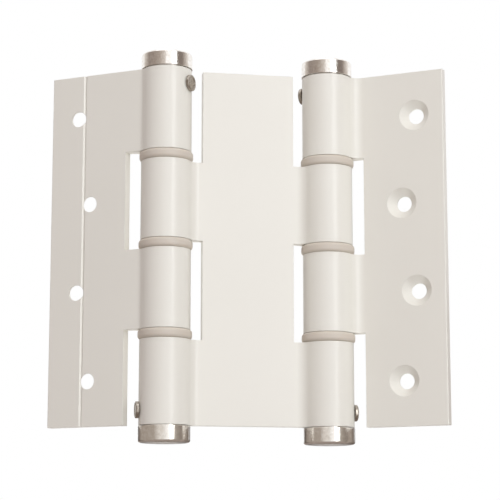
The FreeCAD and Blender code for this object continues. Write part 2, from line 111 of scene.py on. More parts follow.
def add(tree, kind, inputs=None, **settings):
    """Adds a node. An input, by name or number, takes a plain value or another node's socket."""
    node = tree.nodes.new(kind)
    for name, setting in settings.items():
        setattr(node, name, setting)
    for key, value in (inputs or {}).items():
        if isinstance(value, bpy.types.NodeSocket):
            tree.links.new(value, node.inputs[key])
        else:
            node.inputs[key].default_value = value
    return node


def new_material(name, **sockets):
    """A material with a Principled BSDF, whose constant values are set on its own sockets."""
    material = bpy.data.materials.new(name)
    material.use_nodes = True
    tree = material.node_tree
    tree.nodes.clear()
    values = {key.replace("_", " "): value for key, value in sockets.items()}
    shader = add(tree, "ShaderNodeBsdfPrincipled", values)
    add(tree, "ShaderNodeOutputMaterial", {"Surface": shader.outputs["BSDF"]})
    place = add(tree, "ShaderNodeTexCoord").outputs["Object"]
    return material, tree, shader, place


def per_mm(size_mm):
    """Texture scale at which one feature is this many millimetres wide."""
    return 1 / (size_mm * MM)


print("a 1.5 mm feature has a texture scale of", round(per_mm(1.5)))

# %% [markdown]
# ## The leaves' finish: powder coat on extruded aluminium
#
# The leaves are cut from an aluminium profile, drilled, and then coated with a creamy white
# polyester powder that melts in an oven. What the eye gets from that is a satin gloss, a skin that
# is not quite flat, called orange peel, with swellings of a millimetre or two, and soft edges,
# because the melted powder rounds them. Paint on a metal sheet could be a flat colour, but then a
# large plate looks like paper. Two noises do the skin here: a wide one shifts the tone by about one
# percent, as uneven thickness does, and a fine one is the orange peel. A Bevel node rounds the
# shading of the sawn edges a little, as the melted coat does.

# %% Powder coat

COAT_PEEL_MM = 1.6
COAT_PEEL_DEPTH_MM = 0.05
COAT_DRIFT_MM = 45
COAT_EDGE_MM = 0.25

coat, tree, shader, place = new_material("powder_coated_extruded_aluminium", Roughness=0.34, IOR=1.5,
                                         Coat_Weight=0.2, Coat_Roughness=0.12)
drift = add(tree, "ShaderNodeTexNoise", {"Vector": place, "Scale": per_mm(COAT_DRIFT_MM),
                                         "Detail": 3.0})
tone = add(tree, "ShaderNodeMix", {"Factor": drift.outputs["Fac"], MIX_COLOUR_A: linear("#EFEDE5"),
                                   MIX_COLOUR_B: linear("#F4F2EA")}, data_type="RGBA")
tree.links.new(tone.outputs[MIX_COLOUR_RESULT], shader.inputs["Base Color"])
peel = add(tree, "ShaderNodeTexNoise", {"Vector": place, "Scale": per_mm(COAT_PEEL_MM),
                                        "Detail": 1.5})
soft_edge = add(tree, "ShaderNodeBevel", {"Radius": COAT_EDGE_MM * MM}, samples=6)
skin = add(tree, "ShaderNodeBump", {"Height": peel.outputs["Fac"], "Strength": 0.22,
                                    "Distance": COAT_PEEL_DEPTH_MM * MM,
                                    "Normal": soft_edge.outputs["Normal"]})
tree.links.new(skin.outputs["Normal"], shader.inputs["Normal"])
print("made", coat.name)

# %% [markdown]
# ## The washers' finish: moulded nylon
#
# The rings between the knuckles are natural nylon, warm beige and a little translucent. Light goes
# in, spreads for a fraction of a millimetre and comes out again, which softens the shading, so some
# subsurface scattering is mixed in. The mould leaves a fine matt grain.

# %% Moulded nylon

NYLON_GRAIN_MM = 0.4
NYLON_GRAIN_DEPTH_MM = 0.03
NYLON_SPREAD_MM = 0.6

nylon, tree, shader, place = new_material(
    "moulded_natural_nylon", Base_Color=linear("#D7CEC2"), Roughness=0.55, IOR=1.53,
    Coat_Weight=0.15, Coat_Roughness=0.18, Subsurface_Weight=0.15,
    Subsurface_Scale=NYLON_SPREAD_MM * MM, Subsurface_Radius=(1.0, 0.8, 0.6))
grain = add(tree, "ShaderNodeTexNoise", {"Vector": place, "Scale": per_mm(NYLON_GRAIN_MM),
                                         "Detail": 2.0})
bump = add(tree, "ShaderNodeBump", {"Height": grain.outputs["Fac"], "Strength": 0.25,
                                    "Distance": NYLON_GRAIN_DEPTH_MM * MM})
tree.links.new(bump.outputs["Normal"], shader.inputs["Normal"])
print("made", nylon.name)

# %% [markdown]
# ## The caps' finish: turned steel with nickel plate
#
# The caps are turned on a lathe and plated with nickel. The tool leaves rings round the axis, which
# stretch each reflection, and the plate has small pits and stains where a finger or the air got to
# it. Nickel is warmer and a little darker than chrome. The rings are much finer than the render can
# show, so they are drawn as soft waves 2.2 mm apart, and the pits about half a millimetre wide.
#
# The same recipe, with other tones and less gloss, serves the other steel parts. The lock pins are
# rolled and only tumbled, so they are a tan grey and duller. The tubes are drawn, a soft light grey.
# The spring wire is tempered in oil, which leaves it nearly black.

# %% Nickel plate and the other steels

LATHE_RING_MM = 2.2
LATHE_RING_DEPTH_MM = 0.03
PIT_MM = 0.55
PIT_DEPTH_MM = 0.05
STAIN_MM = 1.6
# Blender's wave texture turns through this many radians in each unit of its scale.
WAVE_RATE = 20


def plated(name, bright_hex, stained_hex, smooth, rough):
    """Steel whose stains are darker and duller than the clean metal round them."""
    material, tree, shader, place = new_material(name, Metallic=1.0)
    stain = add(tree, "ShaderNodeTexNoise", {"Vector": place, "Scale": per_mm(STAIN_MM),
                                             "Detail": 6.0, "Roughness": 0.75})
    clean = add(tree, "ShaderNodeMapRange", {"Value": stain.outputs["Fac"], "From Min": 0.3,
                                             "From Max": 0.62, "To Min": 0.0, "To Max": 1.0})
    tone = add(tree, "ShaderNodeMix", {"Factor": clean.outputs[0], MIX_COLOUR_A: linear(stained_hex),
                                       MIX_COLOUR_B: linear(bright_hex)}, data_type="RGBA")
    tree.links.new(tone.outputs[MIX_COLOUR_RESULT], shader.inputs["Base Color"])
    gloss = add(tree, "ShaderNodeMapRange", {"Value": stain.outputs["Fac"], "From Min": 0.35,
                                             "From Max": 0.65, "To Min": rough, "To Max": smooth})
    tree.links.new(gloss.outputs[0], shader.inputs["Roughness"])
    rings = add(tree, "ShaderNodeTexWave", {"Vector": place, "Distortion": 1.2, "Detail": 2.0,
                                            "Scale": per_mm(LATHE_RING_MM) * 2 * math.pi / WAVE_RATE},
                bands_direction="Z")
    turned = add(tree, "ShaderNodeBump", {"Height": rings.outputs["Fac"], "Strength": 0.10,
                                          "Distance": LATHE_RING_DEPTH_MM * MM})
    pits = add(tree, "ShaderNodeTexNoise", {"Vector": place, "Scale": per_mm(PIT_MM), "Detail": 4.0})
    pitted = add(tree, "ShaderNodeBump", {"Height": pits.outputs["Fac"], "Strength": 0.8,
                                          "Distance": PIT_DEPTH_MM * MM,
                                          "Normal": turned.outputs["Normal"]})
    tree.links.new(pitted.outputs["Normal"], shader.inputs["Normal"])
    return material


nickel = plated("turned_nickel_plated_steel", "#FCF9F5", "#E9E2DA", 0.10, 0.22)
pin_steel = plated("rolled_steel_lock_pin", "#BBB2A8", "#958C83", 0.2, 0.34)
tube_steel = plated("drawn_steel_tube", "#B9B6B2", "#8F8B86", 0.3, 0.5)
wire_steel = plated("oil_tempered_spring_wire", "#6A6561", "#3E3B39", 0.3, 0.5)
print("made", [m.name for m in (nickel, pin_steel, tube_steel, wire_steel)])

# %% [markdown]
# ## Finishes for the CAD parts
#
# A CAD part whose shape is already right keeps its mesh and only changes its material. The kind of
# part is a word in its name, so one table serves them all, also those that a finer piece below
# takes the place of.

# %% Assign finishes

FINISHES = {"leaf": coat, "washer": nylon, "tube": tube_steel, "cap": nickel, "pin": pin_steel,
            "spring": wire_steel}
for name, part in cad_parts.items():
    kind = next(word for word in FINISHES if word in name)
    part.data.materials.clear()
    part.data.materials.append(FINISHES[kind])
print("painted", len(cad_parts), "CAD parts")

# %% [markdown]
# ## Geometry Nodes as recipes
#
# A Geometry Nodes tree is a recipe with named inputs. Each one here starts from a mesh, which may
# be empty, and all of them end alike, with smooth faces, real copies and the finish.

# %% Start and end of a recipe


def new_recipe(name, inputs):
    """An empty geometry tree. inputs gives each named input its socket type."""
    tree = bpy.data.node_groups.new(name, "GeometryNodeTree")
    tree.interface.new_socket("Geometry", in_out="INPUT", socket_type="NodeSocketGeometry")
    for label, kind in inputs.items():
        tree.interface.new_socket(label, in_out="INPUT", socket_type=f"NodeSocket{kind}")
    tree.interface.new_socket("Geometry", in_out="OUTPUT", socket_type="NodeSocketGeometry")
    return tree, add(tree, "NodeGroupInput").outputs


def close_recipe(tree, geometry, material):
    smooth = add(tree, "GeometryNodeSetShadeSmooth", {"Geometry": geometry})
    real = add(tree, "GeometryNodeRealizeInstances", {"Geometry": smooth.outputs[0]})
    finish = add(tree, "GeometryNodeSetMaterial", {"Geometry": real.outputs[0], "Material": material})
    add(tree, "NodeGroupOutput", {"Geometry": finish.outputs[0]})
    print("recipe", tree.name, "has", len(tree.nodes), "nodes")


print("each recipe ends in smooth faces, real copies and a finish")

# %% [markdown]
# ## Clean meshes
#
# A swept mesh has double points along its seams, and its faces may look inwards. Both are put right
# before a piece is used, because only a closed shape that faces outwards shades and measures as a
# solid does. Where two faces meet at a steep angle, the edge between them stays crisp.

# %% Clean a mesh

SHARP_DEG = 32
SEAM_MM = 0.0005


def clean_mesh(mesh):
    finish = next(material for material in mesh.materials if material)
    mesh.materials.clear()
    mesh.materials.append(finish)
    solid = bmesh.new()
    solid.from_mesh(mesh)
    bmesh.ops.remove_doubles(solid, verts=solid.verts, dist=SEAM_MM * MM)
    bmesh.ops.recalc_face_normals(solid, faces=solid.faces)
    for face in solid.faces:
        face.material_index = 0
    solid.to_mesh(mesh)
    solid.free()
    mesh.set_sharp_from_angle(angle=math.radians(SHARP_DEG))


print("edges of more than", SHARP_DEG, "degrees stay crisp")

# %% [markdown]
# ## Running a recipe
#
# A recipe runs once, on a new object, and its result is kept as a plain mesh, because the parts are
# finished goods that never change again. The sizes are set before Blender first works the modifier
# out, and each by its socket's identifier, which is what the modifier stores them under.

# %% Run a recipe


def run_recipe(name, tree, settings, start=None):
    """Runs a tree on a mesh or an empty one, and gives back an object with a plain mesh."""
    start = start or bpy.data.meshes.new(name)
    piece = bpy.data.objects.new(name, start)
    bpy.context.scene.collection.objects.link(piece)
    modifier = piece.modifiers.new("recipe", "NODES")
    modifier.node_group = tree
    for socket in tree.interface.items_tree:
        if socket.in_out == "INPUT" and socket.name in settings:
            modifier[socket.identifier] = settings[socket.name]
    bpy.context.view_layer.update()
    evaluated = piece.evaluated_get(bpy.context.evaluated_depsgraph_get())
    mesh = bpy.data.meshes.new_from_object(evaluated)
    piece.modifiers.clear()
    piece.data = mesh
    bpy.data.meshes.remove(start)
    mesh.name = name
    clean_mesh(mesh)
    low = [min(v.co[i] for v in mesh.vertices) / MM for i in range(3)]
    high = [max(v.co[i] for v in mesh.vertices) / MM for i in range(3)]
    print(name, len(mesh.polygons), "faces, from", [round(c, 2) for c in low], "to",
          [round(c, 2) for c in high], "mm")
    return piece


print("ready to make the pieces")

# %% [markdown]
# ## Nylon washers
#
# Three washers part the four knuckles of each barrel and carry the turning. They stand a little
# proud of the barrel, and the mould gives them a full round rim, where the CAD model has a square
# one. A washer is a rounded box swept round a circle, so the recipe fillets a rectangle, sweeps it,
# and sets a copy on each point of a line up the barrel, once for each barrel.

# %% Washer recipe

WASHER_SIDES = 120
RIM_STEPS = 7

washer_tree, given = new_recipe("nylon_washers", {
    "Bore Radius": "Float", "Rim Radius": "Float", "Thickness": "Float", "Rim Rounding": "Float",
    "First Washer": "Vector", "Step Up": "Vector", "Step Across": "Vector", "Per Barrel": "Int"})
radii = {0: given["Rim Radius"], 1: given["Bore Radius"]}
wall = add(washer_tree, "ShaderNodeMath", radii, operation="SUBTRACT")
radii_sum = add(washer_tree, "ShaderNodeMath", radii, operation="ADD")
middle = add(washer_tree, "ShaderNodeMath", {0: radii_sum.outputs[0], 1: 0.5}, operation="MULTIPLY")
circle = add(washer_tree, "GeometryNodeCurvePrimitiveCircle", {"Resolution": WASHER_SIDES,
                                                               "Radius": middle.outputs[0]})
section = add(washer_tree, "GeometryNodeCurvePrimitiveQuadrilateral", {
    "Width": wall.outputs[0], "Height": given["Thickness"]})
section = add(washer_tree, "GeometryNodeFilletCurve", {
    "Curve": section.outputs[0], "Count": RIM_STEPS, "Radius": given["Rim Rounding"],
    "Limit Radius": True}, mode="POLY")
washer = add(washer_tree, "GeometryNodeCurveToMesh", {"Curve": circle.outputs[0],
                                                      "Profile Curve": section.outputs[0]})
stack = add(washer_tree, "GeometryNodeMeshLine", {"Count": given["Per Barrel"],
                                                  "Offset": given["Step Up"]})
washers = add(washer_tree, "GeometryNodeInstanceOnPoints", {"Points": stack.outputs[0],
                                                            "Instance": washer.outputs[0]})
barrels = add(washer_tree, "GeometryNodeMeshLine", {"Count": len(SIDES), "Offset": given["Step Across"],
                                                    "Start Location": given["First Washer"]})
pairs = add(washer_tree, "GeometryNodeInstanceOnPoints", {"Points": barrels.outputs[0],
                                                          "Instance": washers.outputs[0]})
close_recipe(washer_tree, pairs.outputs[0], nylon)

# %% [markdown]
# ## Setting the washers on their barrels
#
# The sizes are read from the CAD washers, and the bore is the tube's size with a little play. Only
# the rounding of the rim is new. It is a little under half the thickness, so that the rim is nearly
# a half circle.

# %% Make the washers

TUBE_FIT_MM = 0.08
RIM_ROUNDING_MM = 1.95

low, high = node_box("frame_washer_bottom")
next_low = node_box("frame_washer_middle")[0]
tube_low, tube_high = node_box("frame_tube")
washer_bore = (tube_high.x - tube_low.x) / 2 + TUBE_FIT_MM * MM
nylon_washers = run_recipe("nylon_washers", washer_tree, {
    "Bore Radius": washer_bore, "Rim Radius": (high.x - low.x) / 2, "Thickness": high.z - low.z,
    "Rim Rounding": RIM_ROUNDING_MM * MM, "Per Barrel": len(LEVELS),
    "First Washer": AXIS["frame"] + Vector((0, 0, (low.z + high.z) / 2)),
    "Step Up": Vector((0, 0, next_low.z - low.z)), "Step Across": AXIS["door"] - AXIS["frame"]})
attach(nylon_washers, "centre")
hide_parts(*[f"{side}_washer_{level}" for side in SIDES for level in LEVELS])

# %% [markdown]
# ## Parts turned on a lathe
#
# The caps and the lock pins are turned parts: one outline, spun round an axis. The outline is drawn
# here as a chain of points, radius first and height second, in millimetres, and a recipe spins it.
# Spinning is the same as sweeping the outline round a circle, which leaves a ring of equal points
# where it touches the axis, so they are merged.

# %% Outlines and the lathe

LATHE_CIRCLE = 5 * MM
POLE_MM = 0.001


def arc_points(centre, radius, start_deg, end_deg, steps=6):
    angles = [math.radians(start_deg + (end_deg - start_deg) * i / steps) for i in range(steps + 1)]
    return [(centre[0] + radius * math.cos(a), centre[1] + radius * math.sin(a)) for a in angles]


def chain_mesh(name, points):
    """Points in metres, each joined to the next by an edge."""
    mesh = bpy.data.meshes.new(name)
    mesh.from_pydata(points, [(i, i + 1) for i in range(len(points) - 1)], [])
    return mesh


def outline_mesh(name, points_mm):
    """The sweep turns a profile's -Y up, and puts its X outwards from the lathe circle."""
    return chain_mesh(name, [(radius * MM - LATHE_CIRCLE, -height * MM, 0)
                             for radius, height in points_mm])


def lathe(tree, given):
    """Spins the outline that the recipe starts from. The solid stands on the Z axis."""
    outline = add(tree, "GeometryNodeMeshToCurve", {"Mesh": given["Geometry"]})
    circle = add(tree, "GeometryNodeCurvePrimitiveCircle", {"Resolution": given["Sides"],
                                                            "Radius": LATHE_CIRCLE})
    skin = add(tree, "GeometryNodeCurveToMesh", {"Curve": circle.outputs[0],
                                                 "Profile Curve": outline.outputs[0]})
    return add(tree, "GeometryNodeMergeByDistance", {"Geometry": skin.outputs[0],
                                                     "Distance": POLE_MM * MM}).outputs[0]


print("the lathe circle is", LATHE_CIRCLE / MM, "mm in radius")

# %% [markdown]
# ## Putting parts on the hinge
#
# The hinge looks the same after half a turn about its middle axis, so what is placed on the first
# barrel only needs copies that are turned on by half a turn each, and they land on the other one.

# %% Place a part and its copies

PLACE_INPUTS = {"Place": "Vector", "Lean": "Vector", "First Turn": "Float", "Copies": "Int"}
LATHE_INPUTS = {"Sides": "Int", **PLACE_INPUTS}


def half_turns(tree, geometry, given):
    """Copies of a part round the hinge's middle axis, each turned on by half a turn."""
    spots = add(tree, "GeometryNodeMeshLine", {"Count": given["Copies"], "Offset": (0, 0, 0)})
    number = add(tree, "GeometryNodeInputIndex")
    turn = add(tree, "ShaderNodeMath", {0: number.outputs[0], 1: math.pi}, operation="MULTIPLY")
    angle = add(tree, "ShaderNodeMath", {0: turn.outputs[0], 1: given["First Turn"]}, operation="ADD")
    spin = add(tree, "FunctionNodeAxisAngleToRotation", {"Axis": (0, 0, 1), "Angle": angle.outputs[0]})
    return add(tree, "GeometryNodeInstanceOnPoints", {"Points": spots.outputs[0], "Instance": geometry,
                                                      "Rotation": spin.outputs[0]}).outputs[0]


def set_in_place(tree, solid, given):
    """Leans the part, moves it to its place on the first barrel and copies it by half turns."""
    leant = add(tree, "GeometryNodeTransform", {"Geometry": solid, "Rotation": given["Lean"]})
    moved = add(tree, "GeometryNodeTransform", {"Geometry": leant.outputs[0],
                                                "Translation": given["Place"]})
    return half_turns(tree, moved.outputs[0], given)


print("every placed part takes", list(PLACE_INPUTS))

# %% [markdown]
# ## Lock pins
#
# A pin goes through the barrel wall into each cap's stem and keeps the cap from turning. Its head
# is a low button: a round rim, which catches one bright spot, stands a little above a gently domed
# face, and the trough between them draws a dark ring. Under the head is a plain shank with a small
# bevel at its end.

# %% Outline of a pin

PIN_HEAD_R = 3.5
PIN_HEAD_H = 1.5
PIN_RIM_R = 0.5
PIN_RIM_END_DEG = 150
PIN_SHANK_R = 1.5
PIN_DEPTH = 8.0
PIN_TIP_BEVEL = 0.3
PIN_FOOT_BEVEL = 0.2
# The trough and the dome, each point as its radius and its depth below the top of the rim.
PIN_FACE = ((2.45, 0.30), (2.25, 0.26), (1.2, 0.16), (0, 0.13))

pin_outline = [(0, -PIN_DEPTH), (PIN_SHANK_R - PIN_TIP_BEVEL, -PIN_DEPTH),
               (PIN_SHANK_R, -PIN_DEPTH + PIN_TIP_BEVEL), (PIN_SHANK_R, 0),
               (PIN_HEAD_R - PIN_FOOT_BEVEL, 0), (PIN_HEAD_R, PIN_FOOT_BEVEL)]
pin_outline += arc_points((PIN_HEAD_R - PIN_RIM_R, PIN_HEAD_H - PIN_RIM_R), PIN_RIM_R, 0,
                          PIN_RIM_END_DEG, steps=10)
pin_outline += [(radius, PIN_HEAD_H - depth) for radius, depth in PIN_FACE]
print("a pin's outline has", len(pin_outline), "points")

# %% [markdown]
# ## Setting the pins in their barrels
#
# A pin lies across its barrel, with the foot of its head on the wall. The top pins sit in the outer
# leaves' barrels and the bottom ones in the centre leaf's, and at rest the leaves stand 35 degrees
# out of line, so the bottom pins face that much further round.

# %% Make the pins

PIN_SIDES = 48
BARREL_R = 10.6
REST_TURN_DEG = 35

pin_tree, given = new_recipe("lock_pins", LATHE_INPUTS)
close_recipe(pin_tree, set_in_place(pin_tree, lathe(pin_tree, given), given), pin_steel)


def pin_spot(node, facing_deg):
    """Foot of a pin's head on the barrel, and how the pin leans from upright to its direction."""
    low, high = node_box(node)
    facing = math.radians(facing_deg)
    outwards = Vector((math.cos(facing), math.sin(facing), 0))
    foot = AXIS[node.split("_")[0]] + outwards * BARREL_R * MM
    foot.z = (low.z + high.z) / 2
    return foot, (0, math.pi / 2, facing)


for name, body, node, facing_deg, copies in (
        ("frame_top_pin", "frame_side", "frame_pin_top", 0, 1),
        ("door_top_pin", "door_side", "door_pin_top", 180, 1),
        ("bottom_pins", "centre", "frame_pin_bottom", 180 + REST_TURN_DEG, 2)):
    foot, lean = pin_spot(node, facing_deg)
    piece = run_recipe(name, pin_tree, {
        "Sides": PIN_SIDES, "Place": foot, "Lean": lean, "First Turn": 0.0, "Copies": copies},
        outline_mesh(name, pin_outline))
    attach(piece, body)
    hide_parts(*([node] if copies == 1 else [f"{side}_pin_bottom" for side in SIDES]))

# %% [markdown]
# ## End caps
#
# A cap closes each end of a barrel. Its stem goes down into the end knuckle, takes the lock pin
# through a cross hole and holds the spring's wire in a slot across its end. The outline gives the
# head a small round bevel. Under the rim it is undercut by 0.4 mm, so that the cap doesn't rub the
# coated end of the barrel, and that draws the thin dark line which is seen there.

# %% Outline of a cap

STEM_R = 8.22
STEM_LEN = 14.0
STEM_BEVEL = 0.4
CAP_R = 10.8
CAP_HEIGHT = 7.0
CAP_BEVEL = 1.0
CAP_RIM_BEVEL = 0.1
UNDERCUT_R = 8.9
UNDERCUT_HEIGHT = 0.4

cap_outline = [(0, -STEM_LEN), (STEM_R - STEM_BEVEL, -STEM_LEN), (STEM_R, -STEM_LEN + STEM_BEVEL),
               (STEM_R, 0), (UNDERCUT_R, 0), (UNDERCUT_R, UNDERCUT_HEIGHT),
               (CAP_R - CAP_RIM_BEVEL, UNDERCUT_HEIGHT), (CAP_R, UNDERCUT_HEIGHT + CAP_RIM_BEVEL)]
cap_outline += arc_points((CAP_R - CAP_BEVEL, CAP_HEIGHT - CAP_BEVEL), CAP_BEVEL, 0, 90)
cap_outline += [(0, CAP_HEIGHT)]
print("a cap's outline has", len(cap_outline), "points")

# %% [markdown]
# ## The slot and the cross hole
#
# The slot and the hole aren't round about the axis, so a boolean cuts them after the spin. The box
# and the cylinder that cut them are larger than the stem, so that they leave no thin skin behind.

# %% Cap recipe

PIN_DROP = 6.3
PIN_HOLE_R = 1.56
PIN_HOLE_SIDES = 32
SLOT_WIDE = 2.6
SLOT_DEEP = 5.3

cap_tree, given = new_recipe("end_caps", LATHE_INPUTS)
slot_size = Vector((SLOT_WIDE, 4 * CAP_R, 2 * SLOT_DEEP)) * MM
slot_box = add(cap_tree, "GeometryNodeMeshCube", {"Size": slot_size})
slot = add(cap_tree, "GeometryNodeTransform", {"Geometry": slot_box.outputs[0],
                                               "Translation": (0, 0, -STEM_LEN * MM)})
drill = add(cap_tree, "GeometryNodeMeshCylinder", {
    "Vertices": PIN_HOLE_SIDES, "Radius": PIN_HOLE_R * MM, "Depth": 2 * CAP_R * MM})
hole = add(cap_tree, "GeometryNodeTransform", {
    "Geometry": drill.outputs[0], "Rotation": (0, math.pi / 2, 0),
    "Translation": (CAP_R * MM, 0, -PIN_DROP * MM)})
bored = add(cap_tree, "GeometryNodeMeshBoolean", {0: lathe(cap_tree, given)}, operation="DIFFERENCE",
            solver="EXACT")
for cutter in (slot, hole):
    cap_tree.links.new(cutter.outputs[0], bored.inputs[1])
close_recipe(cap_tree, set_in_place(cap_tree, bored.outputs[0], given), nickel)

# %% [markdown]
# ## Setting the caps on their barrels
#
# The outline's zero height is the end of the barrel. A top cap's head reaches from there to the top
# of the CAD cap, and a bottom cap is the same part upside down.

# %% Make the caps

CAP_SIDES = 128

for name, body, node, upside_down, turn_deg, copies in (
        ("frame_top_cap", "frame_side", "frame_cap_top", False, 0, 1),
        ("door_top_cap", "door_side", "door_cap_top", False, 180, 1),
        ("bottom_caps", "centre", "frame_cap_bottom", True, REST_TURN_DEG, 2)):
    low, high = node_box(node)
    place = AXIS[node.split("_")[0]].copy()
    place.z = low.z + CAP_HEIGHT * MM if upside_down else high.z - CAP_HEIGHT * MM
    lean = (0, math.pi if upside_down else 0, math.radians(turn_deg))
    piece = run_recipe(name, cap_tree, {
        "Sides": CAP_SIDES, "Place": place, "Lean": lean, "First Turn": 0.0, "Copies": copies},
        outline_mesh(name, cap_outline))
    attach(piece, body)
    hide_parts(*([node] if copies == 1 else [f"{side}_cap_bottom" for side in SIDES]))

# %% [markdown]
# ## Torsion springs
#
# The springs are wound from round wire, but the CAD model keeps them in short straight runs of
# square bar, which is enough to show their room. Here the wire follows the real path: straight up
# out of the lower cap's slot, a tight bend, about twelve turns of helix, and the same bend into the
# upper slot. The path is worked out from the helix rule, and a recipe sweeps a round wire along it.

# %% The wire's path

COIL_R = 5.02
COIL_TURNS = 12.0
LEG_LEN = 6.3
BEND_DEG = 24
BEND_DROP = 1.6
BEND_STEPS = 8
POINTS_PER_TURN = 40


def half_wire(turns, length):
    """The lower leg, its bend and the first half of the helix, as angle in radians and height in
    millimetres. The bend starts straight up and eases round into the first turn."""
    rise = length / (2 * math.pi * turns)
    bend = math.radians(BEND_DEG)
    half = math.pi * turns
    path = [(0.0, -LEG_LEN)]
    for step in range(BEND_STEPS):
        done = step / BEND_STEPS
        path.append((bend * (2 * done * done - done ** 3),
                     -BEND_DROP + (BEND_DROP + rise * bend) * (1 - (1 - done) ** 2)))
    count = round(POINTS_PER_TURN * turns / 2)
    angles = [bend + (half - bend) * i / count for i in range(count + 1)]
    return path + [(angle, rise * angle) for angle in angles]


spring_low, spring_high = node_box("frame_spring")
coil_length = (spring_high.z - spring_low.z) / MM - 2 * LEG_LEN
coil_turns = COIL_TURNS - REST_TURN_DEG / 360
lower = half_wire(coil_turns, coil_length)
upper = [(2 * math.pi * coil_turns - angle, coil_length - height) for angle, height in lower[-2::-1]]
wire_path = [(COIL_R * MM * math.cos(angle), COIL_R * MM * math.sin(angle), height * MM)
             for angle, height in lower + upper]
print(len(wire_path), "points for", round(coil_turns, 2), "turns")

# %% [markdown]
# ## Sweeping the wire
#
# A wire is a circle swept along a path, which Curve to Mesh does, with its ends closed. The second
# spring is the first one turned by half a turn about the hinge's middle axis, and both are kept as
# plain meshes where they are made.

# %% Make the springs

WIRE_R = 1.0
WIRE_SIDES = 12
SLOT_TURN_DEG = 90

wire_tree, given = new_recipe("torsion_springs", {"Wire Radius": "Float", **PLACE_INPUTS})
line = add(wire_tree, "GeometryNodeMeshToCurve", {"Mesh": given["Geometry"]})
section = add(wire_tree, "GeometryNodeCurvePrimitiveCircle", {"Resolution": WIRE_SIDES,
                                                              "Radius": given["Wire Radius"]})
wire = add(wire_tree, "GeometryNodeCurveToMesh", {
    "Curve": line.outputs[0], "Profile Curve": section.outputs[0], "Fill Caps": True})
close_recipe(wire_tree, set_in_place(wire_tree, wire.outputs[0], given), wire_steel)

foot = AXIS["frame"].copy()
foot.z = spring_low.z + LEG_LEN * MM
for number, side in enumerate(SIDES):
    name = f"{side}_torsion_spring"
    spring = run_recipe(name, wire_tree, {
        "Wire Radius": WIRE_R * MM, "Place": foot, "First Turn": math.pi * number, "Copies": 1,
        "Lean": (0, 0, math.radians(SLOT_TURN_DEG + REST_TURN_DEG))}, chain_mesh(name, wire_path))
    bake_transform(spring)
    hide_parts(f"{side}_spring")

# %% [markdown]
# ## Stage
#
# A pale floor, a white background and soft light, as for a catalogue. The floor fades to plain
# white away from the hinge, so that it has no edge. The photograph looks up at the hinge from a
# little below its lower end, so the floor is see-through from underneath. It shows the hinge's
# shadow, but only the camera sees it, and it neither lights nor shades anything.

# %% Floor

FLOOR_HALF = 3.0
FLOOR_FADE_START = 0.35
FLOOR_FADE_END = 1.6
FLOOR_WHITE_SHARE = 0.3
WHITE = (1, 1, 1, 1)

floor_material, tree, shader, place = new_material(
    "painted_studio_floor", Base_Color=linear("#F2F1EF"), Roughness=0.8, Specular_IOR_Level=0.2)
distance = add(tree, "ShaderNodeVectorMath", {0: place}, operation="LENGTH")
fade = add(tree, "ShaderNodeMapRange", {
    "Value": distance.outputs["Value"], "From Min": FLOOR_FADE_START, "From Max": FLOOR_FADE_END,
    "To Min": FLOOR_WHITE_SHARE, "To Max": 1.0}, interpolation_type="SMOOTHSTEP")
plain_white = add(tree, "ShaderNodeEmission", {"Color": WHITE, "Strength": 1.0})
topside = add(tree, "ShaderNodeMixShader", {0: fade.outputs[0], 1: shader.outputs[0],
                                            2: plain_white.outputs[0]})
from_below = add(tree, "ShaderNodeNewGeometry").outputs["Backfacing"]
clear = add(tree, "ShaderNodeBsdfTransparent")
sheet = add(tree, "ShaderNodeMixShader", {0: from_below, 1: topside.outputs[0], 2: clear.outputs[0]})
tree.links.new(sheet.outputs[0], tree.nodes["Material Output"].inputs["Surface"])
floor_mesh = bpy.data.meshes.new("floor")
floor_mesh.from_pydata([(-FLOOR_HALF, -FLOOR_HALF, 0), (FLOOR_HALF, -FLOOR_HALF, 0),
                        (FLOOR_HALF, FLOOR_HALF, 0), (-FLOOR_HALF, FLOOR_HALF, 0)], [], [(0, 1, 2, 3)])
floor_mesh.materials.append(floor_material)
floor = bpy.data.objects.new("floor", floor_mesh)
bpy.context.scene.collection.objects.link(floor)
for kind in ("diffuse", "glossy", "transmission", "shadow"):
    setattr(floor, f"visible_{kind}", False)
print("floor is", 2 * FLOOR_HALF, "m wide")

# %% [markdown]
# ## Light
#
# The world is the soft light of a white tent. The camera, the metal and glass see it as pure white.
# For matt surfaces it is weaker and faintly warm, brighter above than below, with a small patch of
# light straight below, as from a lit table. The metal sees that table as a brown grey, which is the
# tone of the flat ends of the bottom caps. Where each part of the tent starts and ends is given as
# a height on a ball of radius 1 round the hinge.

# %% World

TENT_FADE = 0.5
TENT_BELOW = 0.27
TENT_ABOVE = 0.53
TENT_TINT = "#FFF1EE"
PATCH_START = -0.80
PATCH_FULL = -0.95
PATCH_LEVEL = 0.5
TABLE_START = 0.0
TABLE_FULL = -0.10
TABLE_TONE = "#9C9088"

